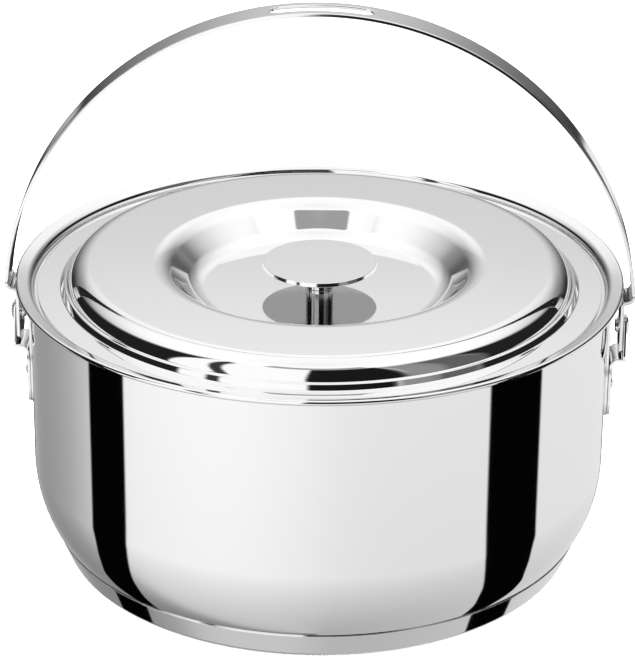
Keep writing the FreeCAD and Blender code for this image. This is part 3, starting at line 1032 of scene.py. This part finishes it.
@dataclass
class Bail:
    """The strap handle."""

    pot: Pot
    width: float = 19.0
    thickness: float = 1.8
    arch_r: float = 156.3
    top_h: float = field(default_factory=lambda: size_of("bail_strap")[1].z)
    pivot_h: float = field(default_factory=lambda: frame["joints"][0]["pos_m"][2] / MM)
    leg_x: float = 149.7
    jog_out: float = -10.0
    jog_in: float = -11.6
    jog_r: float = 2.2
    end_r: float = 14.0
    edge_soft: float = 0.5
    edge_draft: float = 0.3
    slot_length: float = 50.0
    slot_width: float = 8.4
    hole_w: float = 5.12

    def leg(self, side: int) -> list[Point]:
        """Middle line of one leg, from the arch's end down past the pivot.

        Args:
            side: -1 for the left leg, 1 for the right.

        Returns:
            Points from the arch's end to the strap's end.
        """
        centre_h = self.top_h - self.arch_r
        start_h = self.pot.rim_h + self.jog_out + 3
        angle = math.asin((start_h - centre_h) / self.arch_r)
        x_out = self.arch_r * math.cos(angle)
        outer = Outline([Corner(x_out, start_h), Corner(x_out + 3 * math.tan(angle), start_h - 3, self.jog_r),
                         Corner(self.leg_x + self.thickness / 2, self.pot.rim_h + self.jog_in, self.jog_r),
                         Corner(self.leg_x + self.thickness / 2, self.pivot_h - self.end_r)], arc_step=6.0)
        middle = outer.beside(-self.thickness / 2).points()
        return [(side * x, z) for x, z in middle]

    def path(self) -> list[Point]:
        """Middle line of the strap, from the left end over the arch to the right end.

        Returns:
            Points along the whole strap.
        """
        centre_h = self.top_h - self.arch_r
        left, right = self.leg(-1), self.leg(1)
        radius = self.arch_r - self.thickness / 2
        start = math.asin((right[0][1] - centre_h) / radius)
        steps = 180
        arch = [(radius * math.cos(a), centre_h + radius * math.sin(a))
                for a in (math.pi - start - (math.pi - 2 * start) * k / steps for k in range(1, steps))]
        return left[::-1] + arch + right

    def build(self) -> None:
        """Makes the strap."""
        path = self.path()
        length = path_length(path)
        ends = (self.end_r, length - self.end_r)

        def half_width(s: float) -> float:
            """Half the strap's width, round at its ends about the pivots.

            Args:
                s: Distance along the strap.

            Returns:
                The half width.
            """
            beyond = max(ends[0] - s, s - ends[1], 0.0)
            return min(self.width / 2, math.sqrt(max(self.end_r ** 2 - beyond ** 2, 0.0)))

        bends = 45.0
        run = self.end_r - math.sqrt(self.end_r ** 2 - (self.width / 2) ** 2)
        rounding = [self.end_r - self.end_r * math.cos(math.asin(k / 16)) for k in range(17)]
        tips = [s for s in rounding if s <= run] + [run]
        stations = tips + [length - s for s in tips] + evenly(run, bends, 0.9) + evenly(
            length - bends, length - run, 0.9) + evenly(bends, length - bends, 2.6)
        strap = Strip("bail_strap_bent", length, self.thickness, half_width, stations,
                      [Hole(length / 2, self.slot_width, self.slot_length),
                       Hole(ends[0], self.hole_w, self.hole_w),
                       Hole(ends[1], self.hole_w, self.hole_w)],
                      soft=self.edge_soft, draft=self.edge_draft / (self.width / 2))
        settle(strap.bent(path, STRAP_POLISH), "bail", "bail_steel", "bail_strap")


@dataclass
class Ear:
    """One ear: backing plate, hook, fixing rivets, pivot rivet and washer."""

    pot: Pot
    bail: Bail
    side: int
    plate_t: float = 1.4
    hook_t: float = 1.5
    tongue_w: float = 16.0
    head_w: float = 21.0
    inset: float = 0.5
    plate_top: float = -14.0
    tongue_end: float = -75.0
    shoulder: float = -47.0
    web_below_pivot: float = 15.15
    cheek_x: float = 151.65
    eye_r: float = 5.6
    dome_r: float = 5.2
    dome_h: float = 1.8
    tail_r: float = 3.4
    tail_t: float = 0.8
    washer_r: float = 4.2
    washer_t: float = 0.8
    play: float = 0.3
    fix_dome_r: float = 2.9
    fix_dome_h: float = 1.2
    fix_spacing: float = 8.4
    fix_h: float = -55.5

    @property
    def name(self) -> str:
        """Which ear this is."""
        return "right" if self.side > 0 else "left"

    def tongue_half(self, height: float, inset: float) -> float:
        """Half the width of the round-ended tongue and its shoulders at a height from the rim.

        Args:
            height: Height from the rim.
            inset: How far the outline is drawn in.

        Returns:
            The half width.
        """
        half = self.tongue_w / 2 - inset
        head = self.head_w / 2 - inset
        round_h = self.tongue_end + inset + half
        if height < round_h:
            return math.sqrt(max(half ** 2 - (round_h - height) ** 2, 0.0))
        if height < self.shoulder - 2:
            return half
        return min(half + (head - half) * (height - self.shoulder + 2) / 3, head)

    def turn_side(self) -> Matrix:
        """Turns a piece made for the right-hand ear to its own side."""
        return Matrix.Identity(4) if self.side > 0 else Matrix.Rotation(math.pi, 4, "Z")

    def plate(self) -> bpy.types.Object:
        """The backing plate, wrapped on the wall.

        Returns:
            The finished piece.
        """
        low, high = self.tongue_end, self.plate_top
        soft = 3.0

        def half_width(s: float) -> float:
            """Half width at a distance up from the tongue's end.

            Args:
                s: Distance up from the tongue's end.

            Returns:
                The half width.
            """
            top = high - (low + s)
            half = self.tongue_half(low + s, 0.0)
            return half - soft + math.sqrt(max(soft ** 2 - (soft - top) ** 2, 0.0)) if top < soft else half

        length = high - low
        tip_r = self.tongue_w / 2
        tips = [tip_r - tip_r * math.cos(math.asin(k / 12)) for k in range(13)]
        ends = [length - soft + soft * math.sin(math.pi / 2 * k / 6) for k in range(7)]
        strip = Strip(self.name + "_wall_plate", length, self.plate_t, half_width,
                      tips + evenly(tip_r, length - soft, 2.0) + ends, soft=0.3)
        middle = self.pot.wall_r + self.plate_t / 2
        path = [(middle, self.pot.rim_h + low), (middle, self.pot.rim_h + high)]
        piece = strip.bent(path, EAR_POLISH)
        for vertex in piece.data.vertices:
            spare = vertex.co.x / MM - middle
            radius = middle + spare
            vertex.co.x = math.sqrt(radius ** 2 - (vertex.co.y / MM) ** 2) * MM
        piece.data.transform(self.turn_side())
        return piece

    def hook(self) -> bpy.types.Object:
        """The strip that rises from the tongue, turns out under the strap and up outside it.

        Returns:
            The finished piece.
        """
        inner = self.pot.wall_r + self.plate_t
        web = self.bail.pivot_h - self.web_below_pivot + self.hook_t / 2
        cheek = self.cheek_x - self.hook_t / 2
        base = self.pot.rim_h + self.tongue_end + self.inset
        top = self.bail.pivot_h + self.eye_r
        wall_side = Outline([Corner(inner, base), Corner(inner, web - self.hook_t / 2 - 1.85, 2.4),
                             Corner(inner + 3.0, web, 2.4), Corner(cheek, web, 1.0), Corner(cheek, top)],
                            arc_step=8.0)
        path = wall_side.beside(-self.hook_t / 2).points()
        length = path_length(path)
        head = self.head_w / 2 - self.inset
        eye_s = length - self.eye_r
        start_s = eye_s - (self.web_below_pivot - 2.0)
        dy, dz = head, -(eye_s - start_s)
        touch = math.atan2(dz, dy) + math.acos(self.eye_r / math.hypot(dy, dz))
        touch_w, touch_s = self.eye_r * math.cos(touch), eye_s + self.eye_r * math.sin(touch)

        def half_width(s: float) -> float:
            """Half width along the strip: tongue, channel, taper and round eye.

            Args:
                s: Distance along the strip.

            Returns:
                The half width.
            """
            if s > touch_s:
                return math.sqrt(max(self.eye_r ** 2 - (s - eye_s) ** 2, 0.0))
            if s > start_s:
                return head + (touch_w - head) * (s - start_s) / (touch_s - start_s)
            return self.tongue_half(self.tongue_end + self.inset + s, self.inset)

        tip_r = self.tongue_w / 2 - self.inset
        tips = [tip_r - tip_r * math.cos(math.asin(k / 12)) for k in range(13)]
        crown = [eye_s + self.eye_r * math.sin(touch + (math.pi / 2 - touch) * k / 12) for k in range(13)]
        strip = Strip(self.name + "_hook_strip", length, self.hook_t, half_width,
                      tips + evenly(tip_r, touch_s, 0.8) + crown, soft=0.3)
        return strip.bent(path, EAR_POLISH, self.turn_side())

    def rivet_section(self, radius: float, height: float, shank: float, length: float) -> list[Point]:
        """Section of a domed rivet: head above z = 0, shank below, with a soft edge to the head.

        Args:
            radius: Radius of the head.
            height: Height of the dome.
            shank: Radius of the shank.
            length: Length of the shank.

        Returns:
            Points of the section.
        """
        ball = (radius ** 2 + height ** 2) / (2 * height)
        spread = math.asin(radius / ball)
        dome = [(ball * math.sin(spread * k / 14), height - ball + ball * math.cos(spread * k / 14))
                for k in range(14)]
        return dome + [(radius - 0.05, 0.08), (radius, 0.0), (radius - 0.15, -0.06), (shank, -0.06),
                       (shank, -length), (0.0, -length)]

    def facing(self, x: float, z: float) -> Matrix:
        """Place of something turned about Z so that its top faces outwards at this ear."""
        aim = Matrix.Rotation(math.pi / 2, 4, "Y")
        return self.turn_side() @ Matrix.Translation((x * MM, 0, z * MM)) @ aim

    def pivot_rivet(self) -> bpy.types.Object:
        """The rivet that the strap turns on: domed head outside, flat tail inside.

        Returns:
            The finished piece.
        """
        face = self.cheek_x + self.hook_t / 2
        tail = self.bail.leg_x - self.bail.thickness / 2 - self.play - self.washer_t
        depth = face - tail
        section = self.rivet_section(self.dome_r, self.dome_h, 2.5, depth)[:-1]
        low = -depth - self.tail_t
        section += [(self.tail_r, -depth), (self.tail_r, low + 0.3), (self.tail_r - 0.3, low), (0.0, low)]
        return turned(self.name + "_pivot_rivet_set", section, RIVET_POLISH, 64,
                      self.facing(face, self.bail.pivot_h))

    def washer(self) -> bpy.types.Object:
        """The washer between the strap and the rivet's tail.

        Returns:
            The finished piece.
        """
        outer = self.bail.leg_x - self.bail.thickness / 2 - self.play
        soft = 0.15
        r, t = self.washer_r, self.washer_t
        section = [(2.5, 0), (r - soft, 0), (r, -soft), (r, soft - t), (r - soft, -t), (2.5, -t), (2.5, 0)]
        return turned(self.name + "_washer_ring", section, RIVET_POLISH, 64,
                      self.facing(outer, self.bail.pivot_h))

    def fix_rivets(self) -> bpy.types.Object:
        """The two small rivets that hold the ear to the wall.

        Returns:
            Both rivets as one piece.
        """
        face = self.pot.wall_r + self.plate_t + self.hook_t
        depth = face - (self.pot.wall_r - self.pot.sheet)
        section = self.rivet_section(self.fix_dome_r, self.fix_dome_h, 1.6, depth)[:-1]
        section += [(2.8, -depth - 0.02), (2.8, -depth - 0.55), (2.5, -depth - 0.8), (0.0, -depth - 0.8)]
        one = turned("rivet_pattern", section, RIVET_POLISH, 40, Matrix.Rotation(math.pi / 2, 4, "Y"))
        source = chain(self.name + "_fixing_rivets", [(0, 0), (1, 0)])
        row = source.modifiers.new("row", "NODES")
        row.node_group = rivet_tree()
        place = (face * MM, -self.fix_spacing / 2 * MM, (self.pot.rim_h + self.fix_h) * MM)
        set_inputs(row, Rivet=one, Count=2, Start=place, Step=(0.0, self.fix_spacing * MM, 0.0),
                   Material=RIVET_POLISH.material())
        piece = plain_piece(source, self.name + "_fixing_rivets", self.turn_side())
        bpy.data.objects.remove(one)
        return piece

    def build(self) -> None:
        """Makes the ear's pieces."""
        for piece, node, slot in ((self.plate(), "backing_plate", "ear_steel"),
                                  (self.hook(), "hook", "ear_steel"),
                                  (self.fix_rivets(), "hook_rivets", "fastener_steel"),
                                  (self.pivot_rivet(), "pivot_rivet", "fastener_steel"),
                                  (self.washer(), "pivot_washer", "fastener_steel")):
            settle(piece, "kettle", slot, f"{self.name}_{node}")


def dress_fasteners() -> None:
    """Gives the frame's own pieces that stay in view their finishes."""
    for node, finish in (("base_core", CORE_ALUMINIUM), ("knob_screw", FASTENER_STEEL),
                         ("knob_washer", FASTENER_STEEL), ("knob_lock_washer", FASTENER_STEEL)):
        piece = frame["nodes"][node]
        piece.data.materials.clear()
        piece.data.materials.append(finish.material())
        log.info("%s dressed as %s", node, finish.name)


# ---------------------------------------------------------------- studio
@dataclass(frozen=True)
class Card:
    """A dark or bright card round the kettle, by direction in degrees.

    Azimuth is 0 towards the front and positive towards +X. With a lean, the card's top comes down
    from its edge nearest the front; with a slant, its sides tip over as they rise.
    """

    name: str
    azimuth: tuple[float, float]
    elevation: tuple[float, float]
    level: float
    soft: float = 2.0
    soft_up: float = 4.0
    lean: float = 0.0
    slant: float = 0.0


@dataclass(frozen=True)
class TableStrip:
    """A dark strip on the table at one side, that bends outwards as it comes nearer.

    Near and far are the azimuths of its edges in degrees; side is 1 towards +X. The rate is how
    fast it bends.
    """

    side: float
    near: float
    far: float
    rate: float


# The horizon is an elevation, and every curve is a list of stops. BACK_WALL, BACK_SHADE and
# TABLE_NEAR give brightness by elevation, TABLE_ROUND by azimuth, all in degrees.
HORIZON = -5.3
HORIZON_SOFT = 0.8
HORIZON_SINK = 4.0
SINK_AROUND = (120, 150)
SHADE_AROUND = (146, 178)
PATCH_AROUND = (163, 168)
PATCH_TOP = (-32, -28)
PATCH_LEVEL = 0.015
BACK_WALL = ((-11, 0.010), (-9, 0.05), (-6, 0.15), (-2, 0.30), (3, 0.42), (10, 0.52), (16, 0.61), (19, 0.65),
             (20.5, 0.67), (22.2, 0.70), (23.7, 0.80), (26, 0.92), (30, 1.02), (60, 1.05), (90, 0.95))
BACK_SHADE = ((-6, 0.05), (5, 0.10), (15, 0.34), (25, 0.52), (35, 0.72), (45, 0.92), (52, 1.0), (90, 1.0))
TABLE_ROUND = ((-180, 0.50), (-165, 0.46), (-148, 0.33), (-128, 0.36), (-108, 0.52), (-82, 0.92), (-60, 0.99),
               (-35, 1.01), (-10, 0.95), (15, 0.86), (45, 0.83), (100, 0.83), (150, 0.83), (180, 0.84))
TABLE_NEAR = ((-90, 0.53), (-80, 0.56), (-70, 0.61), (-60, 0.67), (-50, 0.74), (-40, 0.82), (-30, 0.93),
              (-25, 1.0), (0, 1.0))
# How far a strip's edges move outwards, in units of STRIP_REACH degrees, by degrees below the bend.
STRIP_REACH = 50.0
STRIP_SOFT = 0.7
STRIP_LEVEL = 0.001
STRIP_OUTER = ((0, 0), (7, 0.08), (13, 0.22), (17.5, 0.4), (20.5, 0.66), (23, 0.8), (60, 0.8))
STRIP_INNER = ((0, 0), (8, 0.08), (17, 0.24), (24, 0.46), (28, 0.66), (31, 1.0), (34, 1.5), (60, 1.8))
STRIPS = (TableStrip(-1.0, 82.5, 102.5, 1.1), TableStrip(1.0, 70.7, 98.0, 1.0))
CARDS = (
    Card("window", (-68, -5.6), (-8, 63), 1.05, soft_up=3),
    Card("window_bar", (-47.5, -40.5), (-8, 60), 0.04, soft=3, slant=0.33),
    Card("room", (-5.6, 39), (-8, 63.5), 0.010, soft=3, soft_up=3),
    Card("room_side", (39, 59), (-8, 62), 0.28, soft=8, soft_up=6, lean=0.2),
    Card("room_corner", (57, 79), (-8, 60), 0.12, soft=8, soft_up=7, lean=0.3),
    Card("room_top", (-40, 36), (63, 70.5), 0.36, soft=3, soft_up=1.5),
    Card("left_board", (-140, -68), (-8, 58), 0.014, soft=3, soft_up=10, lean=0.6),
    Card("right_board", (78, 140), (-8, 54), 0.016, soft=6, soft_up=10, lean=0.58),
)


def map_range(tree: bpy.types.NodeTree, value: bpy.types.NodeSocket, low: float, high: float,
              to_low: float = 0.0, to_high: float = 1.0) -> bpy.types.NodeSocket:
    """A smooth step from one value to another.

    Args:
        tree: The tree that gets the node.
        value: What is measured.
        low: Where the step starts.
        high: Where it ends.
        to_low: Result below the step.
        to_high: Result above it.

    Returns:
        The stepped value.
    """
    node = tree.nodes.new("ShaderNodeMapRange")
    node.interpolation_type = "SMOOTHSTEP"
    for name, given in (("From Min", low), ("From Max", high), ("To Min", to_low), ("To Max", to_high)):
        node.inputs[name].default_value = given
    tree.links.new(value, node.inputs["Value"])
    return node.outputs[0]


def ramp(tree: bpy.types.NodeTree, value: bpy.types.NodeSocket,
         stops: Sequence[tuple[float, float]]) -> bpy.types.NodeSocket:
    """A curve through stops.

    Args:
        tree: The tree that gets the node.
        value: What is measured.
        stops: Pairs of a value and its result, in order.

    Returns:
        The result, on a smooth curve through the stops.
    """
    node = tree.nodes.new("ShaderNodeFloatCurve")
    low, high = stops[0][0], stops[-1][0]
    curve = node.mapping.curves[0]
    for place, level in stops[1:-1]:
        curve.points.new((place - low) / (high - low), level / 2)
    curve.points[0].location = (0.0, stops[0][1] / 2)
    curve.points[-1].location = (1.0, stops[-1][1] / 2)
    node.mapping.update()
    scaled = map_range(tree, value, low, high)
    scaled.node.interpolation_type = "LINEAR"
    tree.links.new(scaled, node.inputs["Value"])
    return math_node(tree, "MULTIPLY", node.outputs[0], 2.0)


def blend_value(tree: bpy.types.NodeTree, mask: bpy.types.NodeSocket, under: object,
                over: object) -> bpy.types.NodeSocket:
    """Mixes two values by a mask, with each linked or set.

    Args:
        tree: The tree that gets the node.
        mask: How much of the second value shows, 0 to 1.
        under: Value where the mask is 0.
        over: Value where the mask is 1.

    Returns:
        The mixed value.
    """
    node = tree.nodes.new("ShaderNodeMix")
    tree.links.new(mask, node.inputs["Factor"])
    for slot, given in ((node.inputs["A"], under), (node.inputs["B"], over)):
        if isinstance(given, bpy.types.NodeSocket):
            tree.links.new(given, slot)
        else:
            slot.default_value = given
    return node.outputs[0]


@dataclass
class Studio:
    """Floor, surroundings, fill light and camera."""

    pot: Pot
    azimuth: float = 2.3
    elevation: float = 23.239
    distance: float = 1488.0
    aim_x: float = -0.86
    aim_below_rim: float = 31.6
    roll: float = 0.443
    lens: float = 164.8
    fill: float = 3.6
    backdrop: float = 1.05
    bend_start: float = -28.0

    def floor(self) -> None:
        """A plain pale floor that the polished steel doesn't mirror."""
        mesh = bpy.data.meshes.new("floor")
        half = 40.0
        corners = [(-half, -half, 0), (half, -half, 0), (half, half, 0), (-half, half, 0)]
        mesh.from_pydata(corners, [], [(0, 1, 2, 3)])
        floor = new_object("floor", mesh)
        paint = bpy.data.materials.new("pale_floor")
        paint.use_nodes = True
        shader = paint.node_tree.nodes["Principled BSDF"]
        shader.inputs["Base Color"].default_value = (0.97, 0.97, 0.97, 1)
        shader.inputs["Roughness"].default_value = 0.9
        floor.data.materials.append(paint)
        floor.visible_glossy = False

    def surroundings(self) -> None:
        """A white studio with dark boards, as the polished steel sees it, and an even fill light."""
        world = bpy.data.worlds.new("studio")
        world.use_nodes = True
        bpy.context.scene.world = world
        tree = world.node_tree
        place = tree.nodes.new("ShaderNodeTexCoord")
        split = tree.nodes.new("ShaderNodeSeparateXYZ")
        tree.links.new(place.outputs["Generated"], split.inputs[0])
        x, y, z = split.outputs
        degrees = 180 / math.pi
        elevation = math_node(tree, "MULTIPLY", math_node(tree, "ARCSINE", z), degrees)
        turn = math_node(tree, "ARCTAN2", x, math_node(tree, "MULTIPLY", y, -1.0))
        around = math_node(tree, "SUBTRACT", math_node(tree, "MULTIPLY", turn, degrees), self.azimuth)
        aside = math_node(tree, "ABSOLUTE", around)
        level = self.below(tree, around, elevation)
        behind = map_range(tree, aside, *SHADE_AROUND)
        shade = blend_value(tree, behind, ramp(tree, elevation, BACK_SHADE), 1.0)
        above = math_node(tree, "MULTIPLY", ramp(tree, elevation, BACK_WALL), shade)
        for card in CARDS:
            above = self.put_card(tree, card, around, elevation, above)
        sink = map_range(tree, aside, *SINK_AROUND, to_high=HORIZON_SINK)
        sunk = math_node(tree, "ADD", elevation, sink)
        edge = map_range(tree, sunk, HORIZON - HORIZON_SOFT, HORIZON + HORIZON_SOFT)
        level = blend_value(tree, edge, level, above)
        rays = tree.nodes.new("ShaderNodeLightPath")
        level = blend_value(tree, rays.outputs["Is Diffuse Ray"], level, self.fill)
        level = blend_value(tree, rays.outputs["Is Camera Ray"], level, self.backdrop)
        tree.links.new(level, tree.nodes["Background"].inputs["Color"])

    def below(self, tree: bpy.types.NodeTree, around: bpy.types.NodeSocket,
              elevation: bpy.types.NodeSocket) -> bpy.types.NodeSocket:
        """The table as the wall mirrors it: pale in front, greyer at the left, with two dark strips.

        Args:
            tree: The world's tree.
            around: Azimuth in degrees.
            elevation: Elevation in degrees.

        Returns:
            The brightness.
        """
        level = math_node(tree, "MULTIPLY", ramp(tree, around, TABLE_ROUND),
                          ramp(tree, elevation, TABLE_NEAR))
        for strip in STRIPS:
            out = math_node(tree, "MULTIPLY", around, strip.side)
            below = math_node(tree, "SUBTRACT", self.bend_start, elevation)
            depth = math_node(tree, "MULTIPLY", below, strip.rate)
            inner, outer = (math_node(tree, "SUBTRACT", out, math_node(
                tree, "MULTIPLY", ramp(tree, depth, curve), STRIP_REACH)) for curve in (STRIP_INNER, STRIP_OUTER))
            mask = math_node(
                tree, "MULTIPLY", map_range(tree, inner, strip.near - STRIP_SOFT, strip.near + STRIP_SOFT),
                map_range(tree, outer, strip.far - STRIP_SOFT, strip.far + STRIP_SOFT, 1, 0))
            level = blend_value(tree, mask, level, STRIP_LEVEL)
        patch = math_node(tree, "MULTIPLY", map_range(tree, math_node(tree, "ABSOLUTE", around), *PATCH_AROUND),
                          map_range(tree, elevation, *PATCH_TOP))
        return blend_value(tree, patch, level, PATCH_LEVEL)

    def put_card(self, tree: bpy.types.NodeTree, card: Card, around: bpy.types.NodeSocket,
                 elevation: bpy.types.NodeSocket, level: bpy.types.NodeSocket) -> bpy.types.NodeSocket:
        """Lays a card over the brightness so far.

        Args:
            tree: The world's tree.
            card: The card.
            around: Azimuth in degrees.
            elevation: Elevation in degrees.
            level: The brightness so far.

        Returns:
            The brightness with the card.
        """
        first, last = card.azimuth
        low, high = card.elevation
        wide, tall = card.soft / 2, card.soft_up / 2
        up = elevation
        if card.slant:
            rise = math_node(tree, "MULTIPLY", math_node(tree, "SUBTRACT", elevation, 15.0), card.slant)
            around = math_node(tree, "ADD", around, rise)
        if card.lean:
            near = last if abs(last) < abs(first) else first
            away = math_node(tree, "ABSOLUTE", math_node(tree, "SUBTRACT", around, near))
            up = math_node(tree, "ADD", elevation, math_node(tree, "MULTIPLY", away, card.lean))
        mask = math_node(tree, "MULTIPLY", map_range(tree, around, first - wide, first + wide),
                         map_range(tree, around, last - wide, last + wide, 1, 0))
        mask = math_node(tree, "MULTIPLY", mask, map_range(tree, elevation, low - tall, low + tall))
        mask = math_node(tree, "MULTIPLY", mask, map_range(tree, up, high - tall, high + tall, 1, 0))
        return blend_value(tree, mask, level, card.level)

    def camera(self) -> None:
        """The camera, from a little above the rim."""
        azimuth, elevation = math.radians(self.azimuth), math.radians(self.elevation)
        right = Vector((math.cos(azimuth), math.sin(azimuth), 0))
        back = Vector((math.sin(azimuth) * math.cos(elevation), -math.cos(azimuth) * math.cos(elevation),
                       math.sin(elevation)))
        place = Vector((0, 0, self.pot.rim_h)) + back * self.distance
        aim = Vector((0, 0, self.pot.rim_h - self.aim_below_rim)) + right * self.aim_x
        ahead = (aim - place).normalized()
        level = ahead.cross(Vector((0, 0, 1))).normalized()
        up = level.cross(ahead)
        tilt = math.radians(self.roll)
        x = level * math.cos(tilt) + up * math.sin(tilt)
        y = up * math.cos(tilt) - level * math.sin(tilt)
        data = bpy.data.cameras.new("camera")
        data.lens = self.lens
        data.sensor_width = 36.0
        data.clip_end = 100.0
        made = new_object("camera", data)
        turn = Matrix((x, y, -ahead)).transposed().to_4x4()
        made.matrix_world = Matrix.Translation(place * MM) @ turn
        bpy.context.scene.camera = made

    def build(self) -> None:
        """Sets up the studio."""
        self.floor()
        self.surroundings()
        self.camera()
        bpy.context.scene.view_settings.view_transform = "Standard"


def main() -> None:
    """Builds the kettle and its studio."""
    logging.basicConfig(level=logging.INFO, format="%(name)s: %(message)s")
    pot = Pot()
    bail = Bail(pot)
    pot.build()
    Lid(pot).build()
    bail.build()
    for side in (-1, 1):
        Ear(pot, bail, side).build()
    dress_fasteners()
    Studio(pot).build()


if __name__ == "__main__":
    main()
